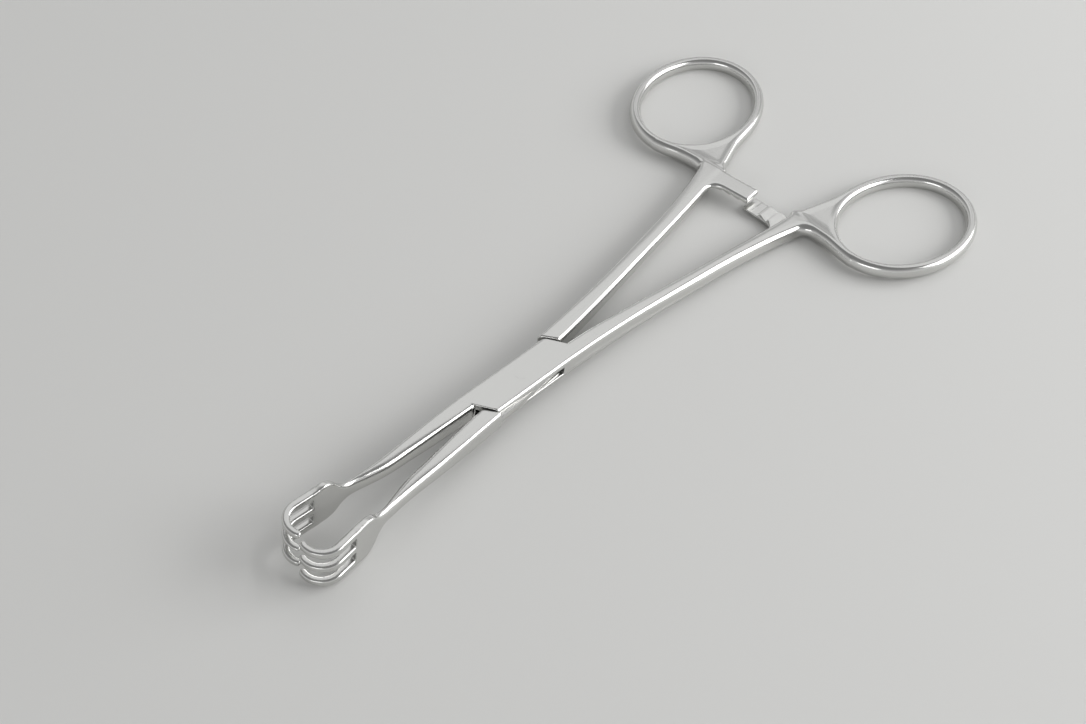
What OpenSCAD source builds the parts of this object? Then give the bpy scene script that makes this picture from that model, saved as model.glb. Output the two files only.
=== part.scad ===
// Ring-handled traction forceps with a box lock, a ratchet and three prongs on each jaw.
// X runs along the instrument from the jaws (minus) to the finger rings (plus).
// Z is the pivot axis, and the flat underside of the box lies at height zero.
// Both halves are drawn as if closed, about the middle plane of the box, then turned to the
// resting opening and lifted.

/* [Box lock] */
// Width of the box across both flat sides
box_w = 6.8; // [6:0.1:8]
// Thickness of the box between its two flat faces
box_t = 4.0; // [3.4:0.1:5]
// Distance from the pivot to the crotch between the two halves
crotch_x = 10.8; // [9.6:0.1:12]
// Distance along the instrument that the shoulder slants back at the edge of the box
shoulder_slant = 2.0; // [1.2:0.1:3]
// Thickness of the tongue that passes through the box
tongue_t = 1.3; // [1:0.05:1.6]
// Radius of the round ends of the tongue
tongue_r = 7.95; // [6:0.05:8.4]
// Diameter of the riveted pivot pin
pin_d = 2.5; // [1.6:0.1:3.2]
// Width of the ground bevel along the long edges
bevel = 0.45; // [0.2:0.05:0.7]

/* [Opening] */
// Angle between the halves as the forceps lie, measured from fully closed
rest_angle = 5; // [4:0.5:8]

/* [Handles] */
// Distance from the pivot to the neck of each finger ring
neck_x = 66.5; // [60:0.5:72]
// Height of the neck above the closing line
neck_y = 7.3; // [6:0.1:9]
// Width of a shank at its slimmest place
shank_w = 2.9; // [2.2:0.1:3.6]
// Thickness of a shank where it meets the neck
shank_t = 3.0; // [2.4:0.1:3.8]

/* [Finger rings] */
// Distance along the instrument from the pivot to the middle of a ring
ring_x = 82.7; // [80:0.5:88]
// Distance from the closing line to the middle of a ring
ring_y = 20.6; // [18:0.2:24]
// Length of the hole in a ring
ring_hole_l = 28.6; // [25:0.2:31]
// Width of the hole in a ring
ring_hole_w = 20.8; // [18:0.2:23]
// Width of the ring's bar seen from above
ring_bar_w = 2.0; // [1.6:0.1:2.8]
// Height of the ring's bar along the pivot axis
ring_bar_h = 2.8; // [2:0.1:3.4]
// Angle of the ring's long axis to the closing line
ring_turn = 7; // [0:1:16]

/* [Ratchet] */
// Width of the ratchet arm along the instrument
ratchet_w = 4.4; // [3.4:0.1:5.2]
// Distance from the pivot to the near side of the ratchet arm
ratchet_x = 64.4; // [60:0.1:66]
// How far the ratchet arm reaches past the closing line
ratchet_reach = 3.2; // [2:0.1:3.6]
// Thickness of the ratchet arm with its teeth
ratchet_t = 1.4; // [1.1:0.1:1.7]
// Height of a ratchet tooth
tooth_h = 0.65; // [0.4:0.05:0.8]
// Number of ratchet teeth on each arm
tooth_count = 4; // [3:1:5]
// Distance from one ratchet tooth to the next
tooth_pitch = 1.95; // [1.5:0.05:2.2]

/* [Jaws] */
// Distance from the pivot to the roots of the slots between the prongs
slot_root_x = 43.9; // [40:0.1:46]
// Distance from the closing line to the middle of the jaw plate at the slot roots
plate_y = 3.4; // [3:0.1:4.2]
// Height of the jaw plate across its three prongs
jaw_h = 8.8; // [8:0.1:9.6]
// Thickness of the jaw plate
plate_t = 1.3; // [1:0.1:1.6]
// Width of a prong along the pivot axis
prong_w = 1.6; // [1.2:0.05:1.7]
// Width of a prong at its tip
prong_tip = 1.0; // [0.6:0.05:1.4]
// Length of the straight part of a prong
prong_straight = 4.0; // [3:0.1:5]
// Radius to which a prong is bent inward
prong_bend = 3.7; // [3:0.1:4.4]
// Angle through which a prong is bent inward
prong_angle = 88; // [70:1:100]
// Height by which the prongs of the two halves miss each other
prong_stagger = 1.8; // [1.65:0.05:2]

/* [Fits] */
// Running clearance between tongue and box along the pivot axis
slot_clearance = 0.07; // [0.04:0.01:0.12]
// Radial running clearance of the tongue on the pin
pin_clearance = 0.05; // [0.02:0.01:0.1]
// Gap between the shoulders, and between tongue and slot ends, when closed
shoulder_gap = 0.12; // [0.08:0.01:0.2]
// Height between the tooth tips of the two ratchet arms
ratchet_gap = 0.2; // [0.1:0.02:0.4]

/* [Hidden] */
$fn = 64;

half_w = box_w / 2;
half_t = box_t / 2;
shoulder_x = crotch_x - shoulder_slant;
part_line = 0.06;
slot_h = tongue_t + 2 * slot_clearance;
slot_r = tongue_r + shoulder_gap;
pin_bore_r = pin_d / 2 + pin_clearance;
prong_pitch = (jaw_h - prong_w) / 2;
section_steps = 12;

// Points on a quadratic curve from a to c that is pulled towards b
function curve(a, b, c, n) =
    [for (i = [0 : n]) let (t = i / n) (1 - t) * (1 - t) * a + 2 * t * (1 - t) * b + t * t * c];

// Two triangles for each quad between neighbouring rings of m points
function skin(n, m) = [
    for (i = [0 : n - 2], j = [0 : m - 1])
        let (a = i * m + j, b = i * m + (j + 1) % m)
        each [[a, b, b + m], [a, b + m, a + m]]
];

// Fans that close the first and the last ring of m points
function caps(n, m) = concat(
    [for (j = [1 : m - 2]) [0, j + 1, j]],
    [for (j = [1 : m - 2]) [(n - 1) * m, (n - 1) * m + j, (n - 1) * m + j + 1]]
);

// Eight points of a bevelled section between an outer and an inner edge point
function bevelled(outer, inner, half_h, z, cut) =
    let (
        across = (inner - outer) / norm(inner - outer),
        o = outer + cut * across,
        i = inner - cut * across,
        h = half_h - cut
    )
    [
        [o[0], o[1], z + half_h],
        [outer[0], outer[1], z + h],
        [outer[0], outer[1], z - h],
        [o[0], o[1], z - half_h],
        [i[0], i[1], z - half_h],
        [inner[0], inner[1], z - h],
        [inner[0], inner[1], z + h],
        [i[0], i[1], z + half_h]
    ];

// A forged bar through a row of stations: outer point, inner point, half height, mid height, bevel
module forged_bar(stations) {
    points = [for (s = stations) each bevelled(s[0], s[1], s[2], s[3], s[4])];
    n = len(stations);
    polyhedron(points, concat(skin(n, 8), caps(n, 8)));
}

// Stations of the shank from the shoulder to the neck, for the half whose handle is above the line
shank_stations = [
    [[shoulder_x + shoulder_gap, half_w], [crotch_x + shoulder_gap, part_line], half_t, 0, bevel],
    [[14, half_w + 0.1], [14, part_line + 0.12], half_t, 0, bevel],
    [[26, half_w + 0.62], [26, half_w + 0.62 - shank_w], half_t - 0.15, 0, bevel],
    [[40, half_w + 1.85], [40, half_w + 1.85 - shank_w], (half_t + shank_t / 2) / 2, 0, bevel],
    [[52, half_w + 3.05], [52.3, half_w + 2.95 - shank_w], shank_t / 2 + 0.1, 0, bevel],
    [[neck_x - 5, neck_y + 0.55], [ratchet_x - 3, neck_y - 2.9], shank_t / 2, 0, bevel],
    [[neck_x - 1.2, neck_y + 1.35], [ratchet_x, neck_y - 3.6], shank_t / 2, 0, bevel],
    [[neck_x + 0.4, neck_y + 1.75], [ratchet_x + ratchet_w, neck_y - 1.7], shank_t / 2, 0, bevel]
];

// Stations of the jaw arm from the shoulder to the slot roots, for the same half
arm_drop = prong_stagger / 2;
plate_out = plate_y + plate_t / 2;
jaw_stations = [
    [[-shoulder_x - shoulder_gap, -half_w], [-crotch_x - shoulder_gap, -part_line], half_t, 0, bevel],
    [[-16, -3.25], [-16, -0.45], half_t * 0.97, 0, bevel],
    [[-25, -3.1], [-25, -1.1], half_t * 0.88, 0, 0.4],
    [[-32, -2.95], [-32, -1.3], half_t * 0.84, 0, 0.35],
    [[-slot_root_x + 7, -2.62], [-slot_root_x + 7, -1.22], jaw_h * 0.23, -arm_drop * 0.4, 0.3],
    [[-slot_root_x + 4, -2.6], [-slot_root_x + 4, -1.28], jaw_h * 0.34, -arm_drop * 0.8, 0.25],
    [[-slot_root_x + 1.6, -plate_out + 0.55], [-slot_root_x + 1.8, plate_t - plate_out + 0.62],
        jaw_h / 2 - 0.35, -arm_drop, 0.2],
    [[-slot_root_x, -plate_out], [-slot_root_x, plate_t - plate_out], jaw_h / 2, -arm_drop, 0.2]
];

// Closed ring of oval section around an ellipse
module finger_ring() {
    bar_x = ring_hole_l / 2 + ring_bar_w / 2;
    bar_y = ring_hole_w / 2 + ring_bar_w / 2;
    steps = 48;
    m = section_steps;
    points = [
        for (i = [0 : steps - 1])
            let (a = 360 * i / steps, nx = bar_y * cos(a), ny = bar_x * sin(a), l = norm([nx, ny]))
            for (j = [0 : m - 1])
                let (b = 360 * j / m, r = ring_bar_w / 2 * cos(b))
                [bar_x * cos(a) + r * nx / l, bar_y * sin(a) + r * ny / l, ring_bar_h / 2 * sin(b)]
    ];
    wrap = [
        for (j = [0 : m - 1])
            let (a = (steps - 1) * m + j, b = (steps - 1) * m + (j + 1) % m)
            each [[a, b, (j + 1) % m], [a, (j + 1) % m, j]]
    ];
    translate([ring_x, ring_y, 0])
        rotate([0, 0, ring_turn])
            polyhedron(points, concat(skin(steps, m), wrap));
}

// Point on the middle line of the ring's bar at an angle around the ring
function on_ring(a) =
    let (x = (ring_hole_l + ring_bar_w) / 2 * cos(a), y = (ring_hole_w + ring_bar_w) / 2 * sin(a))
    [
        ring_x + x * cos(ring_turn) - y * sin(ring_turn),
        ring_y + x * sin(ring_turn) + y * cos(ring_turn)
    ];

// Flat web that spreads from the neck into both sides of the ring
module neck_web() {
    outer = curve([neck_x, neck_y + 1.55], [neck_x + 3.6, neck_y + 5], on_ring(188), 6);
    inner = curve(on_ring(262), [neck_x + 7.6, neck_y], [ratchet_x + ratchet_w, neck_y - 1.9], 6);
    rim = [for (a = [200 : 10 : 250]) on_ring(a)];
    web_t = shank_t - 0.5;
    translate([0, 0, -web_t / 2])
        linear_extrude(web_t)
            polygon(concat(outer, rim, inner, [[ratchet_x + 1, neck_y - 2]]));
}

// Ratchet arm above the middle plane, with saw teeth on its underside
module ratchet_arm() {
    base = ratchet_gap / 2 + tooth_h;
    top = ratchet_gap / 2 + ratchet_t;
    teeth = [
        for (i = [0 : tooth_count - 1])
            let (y = -ratchet_reach + i * tooth_pitch)
            each [[y + 0.25, base - tooth_h], [y + tooth_pitch, base]]
    ];
    root_y = neck_y - 2.6;
    translate([ratchet_x, 0, 0])
        rotate([90, 0, 90])
            linear_extrude(ratchet_w)
                polygon(concat(
                    [[-ratchet_reach, base]], teeth,
                    [[root_y, base], [root_y, top], [-ratchet_reach + 0.3, top],
                        [-ratchet_reach, top - 0.3]]
                ));
}

// One round prong: straight out of the plate, then bent inward to a blunt tip
module prong() {
    bend_steps = 9;
    m = section_steps;
    path = concat(
        [[0.6, 0, 0], [-prong_straight / 2, 0, 0]],
        [
            for (i = [0 : bend_steps])
                let (a = prong_angle * i / bend_steps)
                [-prong_straight - prong_bend * sin(a), prong_bend * (1 - cos(a)), a]
        ],
        [
            [
                -prong_straight - prong_bend * sin(prong_angle) - 0.35 * cos(prong_angle),
                prong_bend * (1 - cos(prong_angle)) + 0.35 * sin(prong_angle),
                prong_angle
            ]
        ]
    );
    n = len(path);
    points = [
        for (i = [0 : n - 1])
            let (
                f = max(0, (i - 2) / (n - 3)),
                s = i == n - 1 ? 0.55 : 1,
                rz = (prong_w * (1 - f) + prong_tip * f) / 2 * s,
                rp = (plate_t * (1 - f) + prong_tip * f) / 2 * s,
                p = path[i]
            )
            for (j = [0 : m - 1])
                let (b = 360 * (j + 0.5) / m, r = rp * cos(b) / cos(180 / m))
                [p[0] + r * sin(p[2]), p[1] + r * cos(p[2]), rz * sin(b) / cos(180 / m)]
    ];
    polyhedron(points, concat(skin(n, m), caps(n, m)));
}

// The three prongs of one jaw
module prongs() {
    for (i = [-1 : 1])
        translate([-slot_root_x, -plate_y, i * prong_pitch - arm_drop])
            prong();
}

// Everything of a handle behind the neck
module handle_end() {
    neck_web();
    finger_ring();
    ratchet_arm();
}

// Plan of the tongue's slanted part on the jaw side, out to x and y limits
module lock_wedge(inner_y, reach, side) {
    polygon([[-4, inner_y], [-crotch_x - reach, inner_y], [-shoulder_x - reach, -side], [-4, -side]]);
}

// Half with the thin tongue: handle above the closing line, jaw below it
module tongue_half() {
    tongue_w = box_w - 0.2;
    color("silver")
        translate([0, 0, half_t])
            rotate([0, 0, rest_angle / 2])
                difference() {
                union() {
                    forged_bar(jaw_stations);
                    prongs();
                    forged_bar(shank_stations);
                    handle_end();
                    intersection() {
                        cylinder(r = tongue_r, h = tongue_t, center = true);
                        cube([box_w * 3, tongue_w, box_t], center = true);
                    }
                    for (a = [0, 180])
                        rotate([0, 0, a])
                            translate([0, 0, -tongue_t / 2])
                                linear_extrude(tongue_t)
                                    lock_wedge(-shoulder_gap, 0.8, tongue_w / 2);
                }
                cylinder(r = pin_bore_r, h = box_t, center = true);
            }
}

// Stations of the box itself, crotch to crotch, for the half whose handle is below the line
box_stations = [
    [[-crotch_x, half_w], [-crotch_x, part_line], half_t, 0, bevel],
    [[-shoulder_x, half_w], [-shoulder_x, -half_w], half_t, 0, bevel],
    [[shoulder_x, half_w], [shoulder_x, -half_w], half_t, 0, bevel],
    [[crotch_x, -part_line], [crotch_x, -half_w], half_t, 0, bevel]
];

// Half with the slotted box: the same forging turned over, so its handle is below the line
module box_half() {
    color("silver")
        translate([0, 0, half_t])
            rotate([0, 0, -rest_angle / 2])
                difference() {
                union() {
                    forged_bar(box_stations);
                    rotate([180, 0, 0]) {
                        forged_bar(concat(
                            [[[-crotch_x, -half_w], [-crotch_x, -part_line], half_t, 0, bevel]],
                            [for (i = [1 : len(jaw_stations) - 1]) jaw_stations[i]]
                        ));
                        prongs();
                        forged_bar(concat(
                            [[[crotch_x, half_w], [crotch_x, part_line], half_t, 0, bevel]],
                            [for (i = [1 : len(shank_stations) - 1]) shank_stations[i]]
                        ));
                        handle_end();
                    }
                }
                cylinder(r = slot_r, h = slot_h, center = true);
                for (a = [0, 180])
                    rotate([0, 0, a])
                        translate([0, 0, -slot_h / 2])
                            linear_extrude(slot_h)
                                lock_wedge(part_line, 3, box_w);
                cylinder(d = pin_d, h = box_t + 1, center = true);
            }
}

// Pivot pin, riveted and ground flush with both faces of the box
module pivot_pin() {
    color("gainsboro")
        cylinder(d = pin_d, h = box_t);
}

box_half();
tongue_half();
pivot_pin();
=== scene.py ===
import math

import bmesh
import bpy
import numpy as np
from mathutils import Matrix, Vector


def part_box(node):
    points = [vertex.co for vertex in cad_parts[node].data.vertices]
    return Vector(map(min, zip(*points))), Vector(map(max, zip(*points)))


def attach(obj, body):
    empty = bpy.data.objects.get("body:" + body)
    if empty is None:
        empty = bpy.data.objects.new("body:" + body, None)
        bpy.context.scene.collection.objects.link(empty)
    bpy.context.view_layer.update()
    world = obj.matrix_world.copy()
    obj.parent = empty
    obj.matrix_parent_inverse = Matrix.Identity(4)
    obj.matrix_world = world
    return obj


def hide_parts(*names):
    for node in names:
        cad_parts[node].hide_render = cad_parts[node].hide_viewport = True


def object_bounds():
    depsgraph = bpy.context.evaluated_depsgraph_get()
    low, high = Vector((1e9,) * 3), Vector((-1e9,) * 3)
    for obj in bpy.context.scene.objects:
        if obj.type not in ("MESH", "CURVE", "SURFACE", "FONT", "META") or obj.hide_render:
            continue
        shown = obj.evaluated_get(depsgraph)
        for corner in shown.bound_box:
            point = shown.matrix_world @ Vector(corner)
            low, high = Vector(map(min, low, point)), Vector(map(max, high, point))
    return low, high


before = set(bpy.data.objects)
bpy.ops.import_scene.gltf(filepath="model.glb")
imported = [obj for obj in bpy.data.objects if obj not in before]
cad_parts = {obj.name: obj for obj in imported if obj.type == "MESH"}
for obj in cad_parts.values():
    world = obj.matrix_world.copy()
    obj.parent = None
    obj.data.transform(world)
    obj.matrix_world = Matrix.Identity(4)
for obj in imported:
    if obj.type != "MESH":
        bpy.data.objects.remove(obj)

# Ring-handled traction forceps: two stainless steel forgings on a flush pivot pin.
# Each forging is described as a distance field, in millimetres, with the halves closed, the pivot
# at the origin, the jaws towards -X, and this half's handle towards +Y and its jaw towards -Y.

MM = 0.001
cad_low, cad_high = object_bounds()
pin_low, pin_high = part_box("pivot_pin")

# Box lock
HALF_T = (pin_high.z - pin_low.z) / MM / 2
PIN_R = (pin_high.x - pin_low.x) / MM / 2
HALF_W = 3.4
CROTCH_X = 10.8
SHOULDER_X = 8.8
PART_LINE = 0.06
SHOULDER_GAP = 0.12
TONGUE_HALF_T = 0.65
TONGUE_R = 7.95
TONGUE_SIDE_GAP = 0.1
SLOT_CLEARANCE = 0.07
PIN_CLEARANCE = 0.05
REST_ANGLE = 5.0

# Long edges of the shank and of the jaw arm, as (x, y) points that a smooth curve runs through
SHANK_OUTER = ((8.9, 3.4), (14, 3.5), (26, 4.02), (40, 5.25), (52, 6.45), (61.5, 7.95), (68, 9.3))
SHANK_INNER = ((10.9, 0.13), (14, 0.25), (26, 1.12), (40, 2.35), (52, 3.42), (61.4, 4.4), (70, 5.3))
SHANK_HALF_T = ((10, HALF_T), (14, HALF_T), (26, 1.85), (40, 1.75), (52, 1.6), (64, 1.5), (72, 1.42))
NECK_END_X = 69.0
ARM_OUTER = ((-44.6, -3.3), (-41, -3.13), (-38.9, -3.0), (-36.5, -2.92), (-32, -2.9), (-25, -3.15),
             (-16, -3.3), (-8.8, -3.4))
ARM_INNER = ((-44.6, -1.97), (-41, -1.82), (-38.9, -1.75), (-36.5, -1.6), (-33.5, -1.05), (-30.6, -0.6),
             (-25, -0.4), (-16, -0.2), (-10.8, -0.11))
ARM_HALF_T = ((-44.6, 4.05), (-41.2, 3.95), (-40.2, 3.35), (-39.2, 2.35), (-38.2, 1.87), (-36, 1.75),
              (-31, 1.68), (-25, 1.78), (-16, 1.95), (-10, HALF_T))
ARM_MID_Z = ((-44.6, -0.75), (-41.2, -0.75), (-39.5, -0.35), (-38, -0.1), (-34, 0), (-10, 0))
BEVEL = 0.45
SHANK_BEVEL = 0.85
ARM_BEVEL = 0.7
PLATE_BEVEL = 0.25
BEVEL_SOFTNESS = 0.65
EDGE_ROUND = 0.3
SHOULDER_ROUND = 0.4

# Finger ring and the web that carries it
RING_X, RING_Y = 82.7, 20.6
RING_TURN = 7.0
RING_HOLE = (14.1, 10.2)
RING_BAR_W = 2.2
RING_BAR_H = 2.8
RING_OVAL = 2.1
WEB_CORNERS = ((67.4, 9.4), (69.2, 5.3), (84.5, 9.3), (80, 20), (67.2, 19.5))
WEB_DISH = 0.28
NECK_FILLET = 2.5

# Ratchet
RATCHET_X = (64.4, 68.6)
RATCHET_END_Y = -3.2
RATCHET_ROOT_Y = 6.0
RATCHET_GAP = 0.2
RATCHET_T = 1.4
TOOTH_H = 0.65
TOOTH_PITCH = 1.95
TOOTH_COUNT = 4
TOOTH_STEP = 0.15
RATCHET_FILLET = 3.0

# Prongs
SLOT_ROOT_X = -44.6
PLATE_Y = -2.63
PLATE_SLANT = math.radians(2.6)
PRONG_PITCH = 3.33
PRONG_MID_Z = -0.75
PRONG_STRAIGHT = 3.4
PRONG_BEND = 3.3
PRONG_ANGLE = math.radians(112)
PRONG_ROOT = (0.68, 0.76)
PRONG_TIP = (0.6, 0.56)
PRONG_ROUND = 0.42
PRONG_FILLET = 0.15

TONGUE_ROOT = 0.7
TONGUE_RIM = 0.1
# The box's bore is drawn tighter than the pin, whose ends stand proud by a hair, so the joint hardly shows
BORE_INSET = 0.35
PIN_PROUD = 0.012

# Fineness of the meshes
CELL = 0.2
STEP = 0.01
NORMAL_STEP = 0.1
SETTLE_ROUNDS = 10
FORGING_LOW = (-53.5, -5.2, -6.0)
FORGING_HIGH = (100.5, 36.0, 4.4)

# Camera, floor and room
PHOTO_W = 1086
SENSOR = 36.0
FOCAL_PX = 1892.0
CAMERA_TURN = (-145.188, 45.568, 7.666)
CAMERA_AIM = (6.1925, 0.1685, 2.0)
CAMERA_DISTANCE = 320.47
FLOOR_SIZE = 3.0
ROOM_LIGHT = 0.42
ROOM_LOW = 0.75
ROOM_HIGH = 0.25
MIDDLE = Vector((0.02, 0, 0))


def through(points):
    """Smooth curve y(x) through a row of points."""
    xs, ys = (np.array(column, float) for column in zip(*points))
    slopes = np.gradient(ys, xs)

    def curve(x):
        i = np.clip(np.searchsorted(xs, x) - 1, 0, len(xs) - 2)
        width = xs[i + 1] - xs[i]
        t = np.clip((x - xs[i]) / width, 0, 1)
        start = (1 + 2 * t) * (1 - t) ** 2 * ys[i] + t * (1 - t) ** 2 * width * slopes[i]
        end = t * t * (3 - 2 * t) * ys[i + 1] + t * t * (t - 1) * width * slopes[i + 1]
        return start + end

    return curve


shank_outer, shank_inner, shank_half_t = map(through, (SHANK_OUTER, SHANK_INNER, SHANK_HALF_T))
arm_outer, arm_inner, arm_half_t, arm_mid_z = map(
    through, (ARM_OUTER, ARM_INNER, ARM_HALF_T, ARM_MID_Z)
)


def soft_max(a, b, r):
    """Where two solids cut each other, with the edge rounded to about r."""
    overlap = np.maximum(r - np.abs(a - b), 0)
    return np.maximum(a, b) + overlap * overlap / (4 * r)


def soft_min(a, b, r):
    """Two solids joined, with a fillet of about r."""
    return -soft_max(-a, -b, r)


def blend(low, high, x):
    """0 below low, 1 above high, smooth between."""
    t = np.clip((x - low) / (high - low), 0, 1)
    return t * t * (3 - 2 * t)


def past_edge(curve, x, y, side):
    """Distance past a long edge, on its upper side (1) or its lower side (-1)."""
    slope = (curve(x + STEP) - curve(x - STEP)) / (2 * STEP)
    return side * (y - curve(x)) / np.sqrt(1 + slope * slope)


def past_corners(corners, x, y):
    """Distance outside a convex outline whose corners run anticlockwise."""
    sides = []
    for (ax, ay), (bx, by) in zip(corners, corners[1:] + corners[:1]):
        length = math.hypot(bx - ax, by - ay)
        sides.append(((by - ay) * (x - ax) - (bx - ax) * (y - ay)) / length)
    outside = sides[0]
    for side in sides[1:]:
        outside = soft_max(outside, side, EDGE_ROUND)
    return outside


def past_ellipse(half_x, half_y, x, y):
    """Distance outside an ellipse about the middle of the finger ring."""
    c, s = math.cos(math.radians(RING_TURN)), math.sin(math.radians(RING_TURN))
    u = c * (x - RING_X) + s * (y - RING_Y)
    v = c * (y - RING_Y) - s * (x - RING_X)
    size = np.hypot(u / half_x, v / half_y)
    steep = np.hypot(u / half_x**2, v / half_y**2)
    return size * (size - 1) / np.maximum(steep, STEP)


def bevelled(plan, z, half_t, bevel=BEVEL):
    """Flat-faced bar with 45 degree bevels; plan is the distance outside its outline."""
    face = np.abs(z) - half_t
    edge = (plan + face + bevel) / math.sqrt(2)
    soft = bevel * BEVEL_SOFTNESS
    return soft_max(soft_max(plan, face, soft), edge, soft)


def oval_edged(plan, z, half_w, half_t):
    """Bar whose sides are half ovals; deeper in than half_w it is flat."""
    u = np.maximum(plan + half_w, 0) / half_w
    v = np.abs(z) / half_t
    size = np.maximum((u**RING_OVAL + v**RING_OVAL) ** (1 / RING_OVAL), STEP)
    power = RING_OVAL - 1
    steep = np.hypot((u / size) ** power / half_w, (v / size) ** power / half_t)
    return (size - 1) / np.maximum(steep, STEP)


def shank_plan(x, y):
    """Outline of the shank, from the crotch to the neck."""
    sides = soft_max(
        past_edge(shank_outer, x, y, 1), past_edge(shank_inner, x, y, -1), EDGE_ROUND
    )
    return soft_max(sides, x - NECK_END_X, EDGE_ROUND)


def handle(x, y, z):
    """Shank, web and finger ring, still without an end at the box."""
    hole_x, hole_y = RING_HOLE
    outline = soft_min(shank_plan(x, y), past_corners(WEB_CORNERS, x, y), NECK_FILLET)
    ring = past_ellipse(hole_x + RING_BAR_W, hole_y + RING_BAR_W, x, y)
    outline = soft_min(outline, ring, 1.5)
    outline = soft_max(outline, -past_ellipse(hole_x, hole_y, x, y), EDGE_ROUND)
    dish = WEB_DISH * blend(67, 71, x) * blend(0.6, 2.0, -outline)
    half_t = shank_half_t(x) - dish
    ring_share = blend(62, 70, x)
    shank = bevelled(outline, z, half_t, BEVEL + (SHANK_BEVEL - BEVEL) * blend(14, 48, x))
    bar = oval_edged(outline, z, RING_BAR_W / 2, half_t)
    return shank * (1 - ring_share) + bar * ring_share


def ratchet_arm(x, y, z):
    """Arm that reaches across to the other half, with saw teeth on its underside."""
    near_x, far_x = RATCHET_X
    middle, half_w = (near_x + far_x) / 2, (far_x - near_x) / 2
    across = np.abs(x - middle) - half_w
    ends = np.maximum(RATCHET_END_Y - y, y - RATCHET_ROOT_Y)
    plan = soft_min(soft_max(across, ends, 0.5), shank_plan(x, y), RATCHET_FILLET)
    plan = soft_max(plan, x - far_x, EDGE_ROUND)
    low, high = RATCHET_GAP / 2, RATCHET_GAP / 2 + RATCHET_T
    middle_z, half_t = (low + high) / 2, (high - low) / 2
    arm = bevelled(plan, z - middle_z, half_t, 0.35)
    along = (y - RATCHET_END_Y) / TOOTH_PITCH
    phase = along - np.floor(along)
    saw = TOOTH_H * np.minimum(phase / (1 - TOOTH_STEP), (1 - phase) / TOOTH_STEP)
    saw = np.where(along < TOOTH_COUNT - TOOTH_STEP, saw, TOOTH_H)
    return soft_max(arm, (low + saw - z) * 0.8, 0.15)


def jaw_arm(x, y, z):
    """Arm from the box to the plate that carries the prongs."""
    sides = soft_max(past_edge(arm_inner, x, y, 1), past_edge(arm_outer, x, y, -1), 0.15)
    plan = np.maximum(sides, SLOT_ROOT_X - x)
    bevel = BEVEL + (ARM_BEVEL - BEVEL) * blend(14, 30, -x) - (ARM_BEVEL - PLATE_BEVEL) * blend(36, 40, -x)
    return bevelled(plan, z - arm_mid_z(x), arm_half_t(x), bevel)


def prong(x, y, z, mid_z):
    """One prong: straight out of the plate, then bent inward and tapered to a blunt tip."""
    c, d = math.cos(PLATE_SLANT), math.sin(PLATE_SLANT)
    along = (SLOT_ROOT_X - x) * c + (PLATE_Y - y) * d
    inward = (SLOT_ROOT_X - x) * d + (y - PLATE_Y) * c
    past_ends = np.maximum(np.maximum(-1 - along, along - PRONG_STRAIGHT), 0)
    straight = np.hypot(past_ends, inward)
    angle = np.arctan2(along - PRONG_STRAIGHT, PRONG_BEND - inward)
    turn = np.clip(angle, 0, PRONG_ANGLE)
    arc_along = PRONG_STRAIGHT + PRONG_BEND * np.sin(turn)
    arc_inward = PRONG_BEND * (1 - np.cos(turn))
    bent = np.hypot(along - arc_along, inward - arc_inward)
    share = np.where(bent < straight, turn / PRONG_ANGLE, 0)
    half_p = PRONG_ROOT[0] + (PRONG_TIP[0] - PRONG_ROOT[0]) * share
    half_z = PRONG_ROOT[1] + (PRONG_TIP[1] - PRONG_ROOT[1]) * share
    u = np.minimum(straight, bent) - half_p + PRONG_ROUND
    v = np.abs(z - mid_z) - half_z + PRONG_ROUND
    return np.hypot(np.maximum(u, 0), np.maximum(v, 0)) + np.minimum(np.maximum(u, v), 0) - PRONG_ROUND


def jaw(x, y, z):
    """Jaw arm, plate and the three prongs."""
    solid = jaw_arm(x, y, z)
    for row in (-1, 0, 1):
        solid = soft_min(solid, prong(x, y, z, PRONG_MID_Z + row * PRONG_PITCH), PRONG_FILLET)
    return solid


def past_shoulder(x, y):
    """Distance past the box's slanted shoulder, which faces +X and -Y."""
    run, rise = CROTCH_X - SHOULDER_X, HALF_W + PART_LINE
    return ((x - SHOULDER_X) * rise - (y + HALF_W) * run) / math.hypot(run, rise)


def handle_with_ratchet(x, y, z):
    return soft_min(handle(x, y, z), ratchet_arm(x, y, z), 0.6)


def tongue_half(x, y, z):
    """Handle and jaw of the half whose thin tongue passes through the box; the tongue is its own mesh."""
    shank = soft_max(handle_with_ratchet(x, y, z), -past_shoulder(x - SHOULDER_GAP, -y), SHOULDER_ROUND)
    arm = soft_max(jaw(x, y, z), -past_shoulder(-x - SHOULDER_GAP, y), SHOULDER_ROUND)
    return np.minimum(shank, arm)


def box_half(x, y, z):
    """Forging with the slotted box."""
    shank = np.maximum(handle_with_ratchet(x, y, z), CROTCH_X - 1 - x)
    arm = np.maximum(jaw(x, y, z), CROTCH_X - 1 + x)
    shoulders = np.maximum(past_shoulder(x, y), past_shoulder(-x, -y))
    box = soft_max(bevelled(np.abs(y) - HALF_W, z, HALF_T), shoulders, 0.2)
    slot = np.hypot(x, y) - TONGUE_R - SHOULDER_GAP
    for side in (1, -1):
        slot = np.minimum(slot, np.maximum(side * y - PART_LINE, TONGUE_R / 2 - side * x))
    slot = np.maximum(slot, np.abs(z) - TONGUE_HALF_T - SLOT_CLEARANCE)
    solid = np.minimum(np.minimum(box, shank), arm)
    solid = soft_max(solid, -slot, 0.2)
    return soft_max(solid, PIN_R - BORE_INSET - np.hypot(x, y), 0.15)


def gradient(field, points, step=STEP):
    """Slope of the field at each point."""
    slopes = np.empty_like(points)
    for axis in range(3):
        shift = np.zeros(3)
        shift[axis] = step
        ahead = field(*(points + shift).T)
        behind = field(*(points - shift).T)
        slopes[:, axis] = (ahead - behind) / (2 * step)
    return slopes


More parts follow.
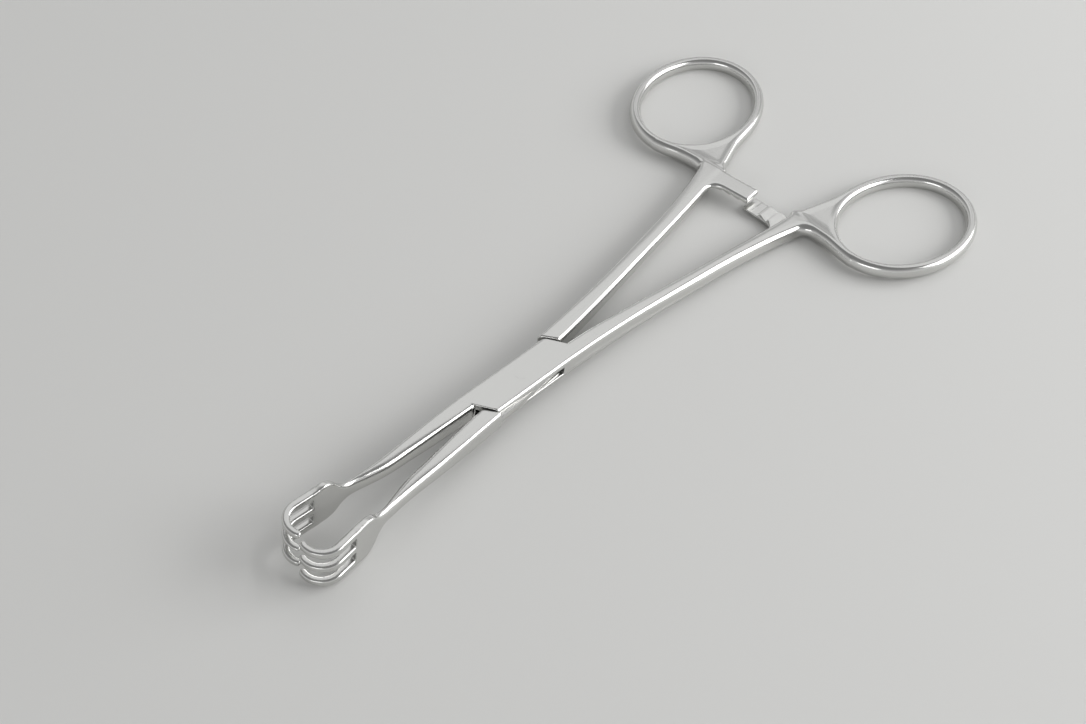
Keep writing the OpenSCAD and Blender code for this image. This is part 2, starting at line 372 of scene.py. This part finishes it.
def settled(field, points):
    """The points moved onto the surface."""
    slopes = gradient(field, points)
    steep = np.maximum((slopes * slopes).sum(1), 0.05)
    move = slopes * (field(*points.T) / steep)[:, None]
    length = np.maximum(np.linalg.norm(move, axis=1), 1e-9)
    return points - move * np.minimum(1, CELL / 2 / length)[:, None]


def evened(points, quads):
    """The points moved halfway to the middle of their neighbours."""
    total = np.zeros_like(points)
    count = np.zeros(len(points))
    for corner in range(4):
        here, there = quads[:, corner], quads[:, (corner + 1) % 4]
        for a, b in ((here, there), (there, here)):
            count += np.bincount(a, minlength=len(points))
            for axis in range(3):
                total[:, axis] += np.bincount(a, points[b, axis], len(points))
    return (points + total / count[:, None]) / 2


def surface(field, low, high):
    """Points and quads of the field's surface: one point in each cell that it crosses."""
    low = np.array(low, float)
    shape = np.ceil((np.array(high) - low) / CELL).astype(int) + 1
    x, y, z = (low[i] + CELL * np.arange(shape[i]) for i in range(3))
    value = field(x[:, None, None], y[None, :, None], z[None, None, :])
    value = np.broadcast_to(value, shape).astype(np.float32)
    inside = value < 0

    corners = [np.array([i, j, k]) for i in (0, 1) for j in (0, 1) for k in (0, 1)]
    count = sum(
        inside[i : shape[0] - 1 + i, j : shape[1] - 1 + j, k : shape[2] - 1 + k].astype(np.int8)
        for i, j, k in corners
    )
    cells = np.argwhere((count > 0) & (count < 8))
    number = np.full(shape, -1, np.int32)
    number[tuple(cells.T)] = np.arange(len(cells))

    total = np.zeros((len(cells), 3))
    crossings = np.zeros(len(cells))
    for start in corners:
        for axis in range(3):
            if start[axis]:
                continue
            end = start.copy()
            end[axis] = 1
            a = value[tuple((cells + start).T)]
            b = value[tuple((cells + end).T)]
            cut = (a < 0) != (b < 0)
            share = np.where(cut, a / np.where(cut, a - b, 1), 0)
            total += cut[:, None] * start
            total[:, axis] += cut * share
            crossings += cut
    points = low + CELL * (cells + total / crossings[:, None])

    quads = []
    for axis in range(3):
        ahead = np.roll(inside, -1, axis)
        for facing in (True, False):
            here = np.argwhere((inside != ahead) & (inside == facing))
            b, c = np.zeros(3, int), np.zeros(3, int)
            b[(axis + 1) % 3] = 1
            c[(axis + 2) % 3] = 1
            around = [number[tuple(cell.T)] for cell in (here, here - b, here - b - c, here - c)]
            quads.append(np.stack(around if facing else around[::-1], 1))
    quads = np.concatenate(quads)
    for _ in range(SETTLE_ROUNDS):
        points = settled(field, evened(points, quads))
    return settled(field, points), quads


def resting(turned_over):
    """Place of a half, drawn closed about the middle plane, when it lies at its resting angle."""
    angle = math.radians(REST_ANGLE / 2)
    place = Matrix.Translation((0, 0, HALF_T)) @ Matrix.Rotation(-angle if turned_over else angle, 4, "Z")
    return place @ Matrix.Rotation(math.pi if turned_over else 0, 4, "X")


def new_piece(name, mesh):
    piece = bpy.data.objects.new(name, mesh)
    bpy.context.scene.collection.objects.link(piece)
    return piece


def forging(name, field, turned_over):
    """Mesh of one half, set at its resting angle, in metres."""
    points, quads = surface(field, FORGING_LOW, FORGING_HIGH)
    slopes = gradient(field, points, NORMAL_STEP)
    place = resting(turned_over)
    turn = np.array(place.to_3x3())
    points = (points @ turn.T + np.array(place.translation)) * MM
    normals = slopes @ turn.T
    normals /= np.linalg.norm(normals, axis=1)[:, None]

    mesh = bpy.data.meshes.new(name)
    mesh.from_pydata(points.tolist(), [], quads.tolist())
    mesh.validate()
    mesh.shade_smooth()
    mesh.normals_split_custom_set_from_vertices(normals.tolist())
    print(name, len(points), "points", len(quads), "quads")
    return new_piece(name, mesh)


def tongue(name):
    """Thin tongue that joins handle and jaw through the box, with the bore for the pin."""
    edge_y = HALF_W - TONGUE_SIDE_GAP
    start, end = -math.asin(edge_y / TONGUE_R), math.asin(SHOULDER_GAP / TONGUE_R)
    arc = [start + (end - start) * i / 24 for i in range(25)]
    side = [(TONGUE_R * math.cos(a), TONGUE_R * math.sin(a)) for a in arc]
    side += [(CROTCH_X + TONGUE_ROOT, SHOULDER_GAP), (SHOULDER_X + TONGUE_ROOT, edge_y)]
    bore_r = PIN_R + PIN_CLEARANCE
    bore = [(bore_r * math.cos(a), bore_r * math.sin(a)) for a in np.linspace(0, 2 * math.pi, 65)[:-1]]
    net = bmesh.new()
    edges = []
    for outline in (side + [(-x, -y) for x, y in side], bore):
        loop = [net.verts.new((x, y, -TONGUE_HALF_T)) for x, y in outline]
        edges += [net.edges.new((a, b)) for a, b in zip(loop, loop[1:] + loop[:1])]
    floor_faces = bmesh.ops.triangle_fill(net, edges=edges, use_beauty=True)["geom"]
    floor_faces = [part for part in floor_faces if isinstance(part, bmesh.types.BMFace)]
    raised = bmesh.ops.extrude_face_region(net, geom=floor_faces, use_keep_orig=True)["geom"]
    for part in raised:
        if isinstance(part, bmesh.types.BMVert):
            part.co.z = TONGUE_HALF_T
    bmesh.ops.recalc_face_normals(net, faces=net.faces[:])
    rims = [edge for edge in net.edges if sum(abs(face.normal.z) > 0.9 for face in edge.link_faces) == 1]
    bmesh.ops.bevel(net, geom=rims, offset=TONGUE_RIM, segments=2, affect="EDGES", profile=0.5)
    net.transform(Matrix.Scale(MM, 4) @ resting(False))
    mesh = bpy.data.meshes.new(name)
    net.to_mesh(mesh)
    net.free()
    mesh.shade_smooth()
    mesh.set_sharp_from_angle(angle=math.radians(35))
    return new_piece(name, mesh)


def flush_pin(name):
    """The pin, riveted and ground flat at both ends."""
    low, high = -PIN_PROUD, 2 * HALF_T + PIN_PROUD
    steps = 96
    net = bmesh.new()
    angles = [2 * math.pi * i / steps for i in range(steps)]
    circle = [(PIN_R * MM * math.cos(a), PIN_R * MM * math.sin(a)) for a in angles]
    under, over = ([net.verts.new((x, y, z * MM)) for x, y in circle] for z in (low, high))
    for ring, z, order in ((under, low, -1), (over, high, 1)):
        middle = net.verts.new((0, 0, z * MM))
        for i in range(steps):
            net.faces.new((middle, ring[i], ring[(i + 1) % steps])[::order])
    for i in range(steps):
        j = (i + 1) % steps
        net.faces.new((under[i], under[j], over[j], over[i]))
    mesh = bpy.data.meshes.new(name)
    net.to_mesh(mesh)
    net.free()
    mesh.shade_smooth()
    mesh.set_sharp_from_angle(angle=math.radians(30))
    return new_piece(name, mesh)


def linear(hex_colour):
    """sRGB hex colour as linear RGBA."""
    parts = [int(hex_colour[i : i + 2], 16) / 255 for i in (1, 3, 5)]
    return [p / 12.92 if p <= 0.04045 else ((p + 0.055) / 1.055) ** 2.4 for p in parts] + [1]


def add(tree, kind, links=None, values=None, **settings):
    """A shader node of a kind, with its settings, its input values and its links."""
    node = tree.nodes.new(kind)
    for name, value in settings.items():
        setattr(node, name, value)
    for name, value in (values or {}).items():
        node.inputs[name].default_value = value
    for name, socket in (links or {}).items():
        tree.links.new(socket, node.inputs[name])
    return node


def new_material(name):
    material = bpy.data.materials.new(name)
    material.use_nodes = True
    material.node_tree.nodes.clear()
    return material, material.node_tree


def ground_stainless(name, colour, flat_roughness, edge_roughness):
    """Martensitic stainless steel: faces ground satin along the length, edges and rings polished."""
    material, tree = new_material(name)
    place = add(tree, "ShaderNodeTexCoord")
    facing = add(tree, "ShaderNodeSeparateXYZ", {"Vector": place.outputs["Normal"]})
    upright = add(tree, "ShaderNodeMath", {0: facing.outputs["Z"]}, operation="ABSOLUTE")
    flat = add(tree, "ShaderNodeMapRange", {"Value": upright.outputs[0]},
               {"From Min": 0.93, "From Max": 0.995}, interpolation_type="SMOOTHSTEP")
    # Grinding marks run along the instrument, about 0.15 mm apart, coarser than real grit so they show
    along = add(tree, "ShaderNodeMapping", {"Vector": place.outputs["Object"]},
                {"Scale": (1 / (12 * MM), 1 / (0.3 * MM), 1 / (0.3 * MM))})
    grain = add(tree, "ShaderNodeTexNoise", {"Vector": along.outputs[0]},
                {"Scale": 1.0, "Detail": 3.0, "Roughness": 0.6})
    # Hand polishing leaves the reflections slightly wavy, every few millimetres
    wave = add(tree, "ShaderNodeTexNoise", {"Vector": place.outputs["Object"]},
               {"Scale": 1 / (7 * MM), "Detail": 1.0})
    rough = add(tree, "ShaderNodeMapRange", {"Value": flat.outputs[0]},
                {"To Min": edge_roughness, "To Max": flat_roughness})
    patch = add(tree, "ShaderNodeMapRange", {"Value": grain.outputs["Fac"]},
                {"To Min": -0.03, "To Max": 0.03})
    rough = add(tree, "ShaderNodeMath", {0: rough.outputs[0], 1: patch.outputs[0]}, operation="ADD")
    waves = add(tree, "ShaderNodeBump", {"Height": wave.outputs["Fac"]},
                {"Strength": 1.0, "Distance": 0.02 * MM})
    marks = add(tree, "ShaderNodeMath", {0: grain.outputs["Fac"], 1: flat.outputs[0]}, operation="MULTIPLY")
    bump = add(tree, "ShaderNodeBump", {"Height": marks.outputs[0], "Normal": waves.outputs[0]},
               {"Strength": 1.0, "Distance": 0.0008 * MM})
    shader = add(tree, "ShaderNodeBsdfPrincipled",
                 {"Roughness": rough.outputs[0], "Normal": bump.outputs[0]},
                 {"Base Color": linear(colour), "Metallic": 1.0})
    add(tree, "ShaderNodeOutputMaterial", {"Surface": shader.outputs[0]})
    return material


def pale_floor_paint(name, colour):
    """Plain matt floor."""
    material, tree = new_material(name)
    shader = add(tree, "ShaderNodeBsdfPrincipled", values={"Base Color": linear(colour), "Roughness": 0.6})
    add(tree, "ShaderNodeOutputMaterial", {"Surface": shader.outputs[0]})
    return material


def softbox(name, azimuth, elevation, distance, size, watts, colour="#FFFFFF"):
    """Soft area lamp that faces the middle of the instrument."""
    lamp = bpy.data.lights.new(name, "AREA")
    lamp.shape = "RECTANGLE"
    lamp.size, lamp.size_y = size
    lamp.energy = watts
    lamp.color = linear(colour)[:3]
    piece = bpy.data.objects.new(name, lamp)
    bpy.context.scene.collection.objects.link(piece)
    a, e = math.radians(azimuth), math.radians(elevation)
    away = Vector((math.cos(e) * math.cos(a), math.cos(e) * math.sin(a), math.sin(e)))
    piece.location = MIDDLE + away * distance
    piece.rotation_euler = away.to_track_quat("Z", "Y").to_euler()
    return piece


def soft_world():
    """Surroundings that are pale low down and darker above: seen by the camera and in the steel."""
    world = bpy.data.worlds.new("pale_room")
    bpy.context.scene.world = world
    world.use_nodes = True
    tree = world.node_tree
    tree.nodes.clear()
    place = add(tree, "ShaderNodeTexCoord")
    height = add(tree, "ShaderNodeSeparateXYZ", {"Vector": place.outputs["Generated"]})
    room = add(tree, "ShaderNodeMapRange", {"Value": height.outputs["Z"]},
               {"From Min": 0.05, "From Max": 0.75, "To Min": ROOM_LOW, "To Max": ROOM_HIGH},
               interpolation_type="SMOOTHSTEP")
    rays = add(tree, "ShaderNodeLightPath")
    seen = add(tree, "ShaderNodeMath", {0: rays.outputs["Is Camera Ray"], 1: rays.outputs["Is Glossy Ray"]},
               operation="MAXIMUM")
    seen = add(tree, "ShaderNodeMath", {0: seen.outputs[0], 1: rays.outputs["Is Transmission Ray"]},
               operation="MAXIMUM")
    strength = add(tree, "ShaderNodeMapRange", {"Value": seen.outputs[0], "To Max": room.outputs[0]},
                   {"To Min": ROOM_LIGHT})
    glow = add(tree, "ShaderNodeBackground", {"Strength": strength.outputs[0]},
               {"Color": linear("#FFFFFF")})
    add(tree, "ShaderNodeOutputWorld", {"Surface": glow.outputs[0]})


def place_camera():
    """Camera at the photograph's viewing angle."""
    a, e, roll = (math.radians(v) for v in CAMERA_TURN)
    back = Vector((math.cos(e) * math.cos(a), math.cos(e) * math.sin(a), math.sin(e)))
    right = (-back).cross(Vector((0, 0, 1))).normalized()
    up = right.cross(-back)
    across = math.cos(roll) * right + math.sin(roll) * up
    upright = math.cos(roll) * up - math.sin(roll) * right
    lens = bpy.data.cameras.new("camera")
    lens.sensor_width = SENSOR
    lens.lens = SENSOR * FOCAL_PX / PHOTO_W
    lens.clip_start = 10 * MM
    camera = bpy.data.objects.new("camera", lens)
    bpy.context.scene.collection.objects.link(camera)
    spot = (Vector(CAMERA_AIM) + back * CAMERA_DISTANCE) * MM
    turn = Matrix((across, upright, back)).transposed().to_4x4()
    camera.matrix_world = Matrix.Translation(spot) @ turn
    bpy.context.scene.camera = camera


def place_floor():
    """Plain floor that touches the lowest prongs and the finger rings."""
    jaw_x, ring_x = -50 * MM, RING_X * MM
    ring_low = (HALF_T - RING_BAR_H / 2) * MM
    slope = math.atan2(ring_low - cad_low.z, ring_x - jaw_x)
    bpy.ops.mesh.primitive_grid_add(size=FLOOR_SIZE, x_subdivisions=8, y_subdivisions=8)
    floor = bpy.context.object
    floor.name = "floor"
    floor.location = (jaw_x, 0, cad_low.z - 0.02 * MM)
    floor.rotation_euler = (0, -slope, 0)
    floor.data.materials.append(pale_floor_paint("matt_white_board", "#DADAD8"))


place_camera()
place_floor()
soft_world()
softbox("key", -45, 26, 0.8, (0.75, 0.42), 4.8)
softbox("overhead", 24, 52, 0.9, (1.05, 0.6), 1.35)
softbox("strip", 200, 22, 0.9, (0.6, 0.15), 0.8)

steel = ground_stainless("ground_and_polished_stainless_steel", "#D2D2D0", 0.25, 0.2)
pin_steel = ground_stainless("flush_ground_pin_steel", "#D2D2D0", 0.25, 0.2)

slotted = forging("slotted_box_forging", box_half, True)
tongued = forging("tongue_side_forging", tongue_half, False)
thin_tongue = tongue("thin_tongue")
pin = flush_pin("flush_pivot_pin")
for piece, body, node, slot, material in (
    (slotted, "box_side", "box_half", "steel", steel),
    (tongued, "tongue_side", "tongue_half", "steel", steel),
    (thin_tongue, "tongue_side", "tongue_half", "steel", steel),
    (pin, "box_side", "pivot_pin", "pin_steel", pin_steel),
):
    piece.data.materials.append(material)
    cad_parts[node].data.materials.clear()
    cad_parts[node].data.materials.append(material)
    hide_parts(node)
    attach(piece, body)

scene = bpy.context.scene
scene.view_settings.view_transform = "Standard"

bpy.context.view_layer.update()
